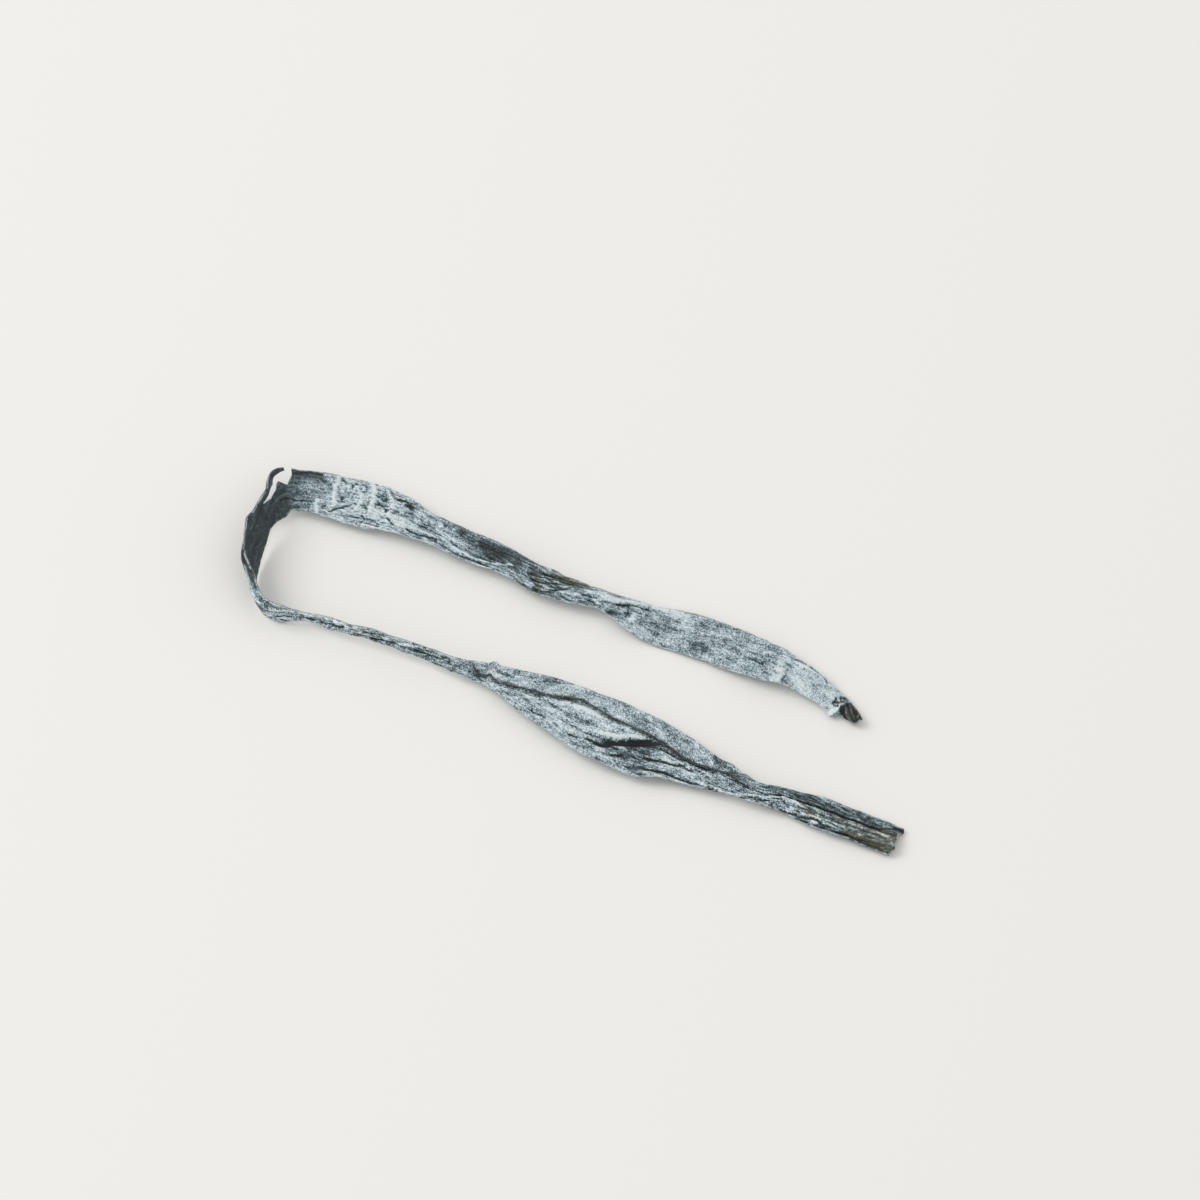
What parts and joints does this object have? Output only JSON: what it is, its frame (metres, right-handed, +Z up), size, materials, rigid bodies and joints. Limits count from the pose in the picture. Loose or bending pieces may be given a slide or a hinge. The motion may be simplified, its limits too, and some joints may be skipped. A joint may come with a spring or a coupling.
{
  "type": "dried kelp strip",
  "caption": "Long thin strip of dried kelp, bent back on itself in a loop that turns it over, with wrinkled, folded and torn margins.",
  "frame": {"origin": "centre of the bounding box in plan, on the table that the strip lies on", "axes": "+X along the two arms, from the loop to the free ends; +Y towards the upper arm; +Z up"},
  "size_m": [0.298, 0.0816, 0.0165],
  "materials": {
    "kelp": "dry matt blade, dark grey-green under a pale blue-grey bloom, with olive cut edges"
  },
  "bodies": {
    "root": {"kelp_strip": "kelp"}
  },
  "joints": []
}
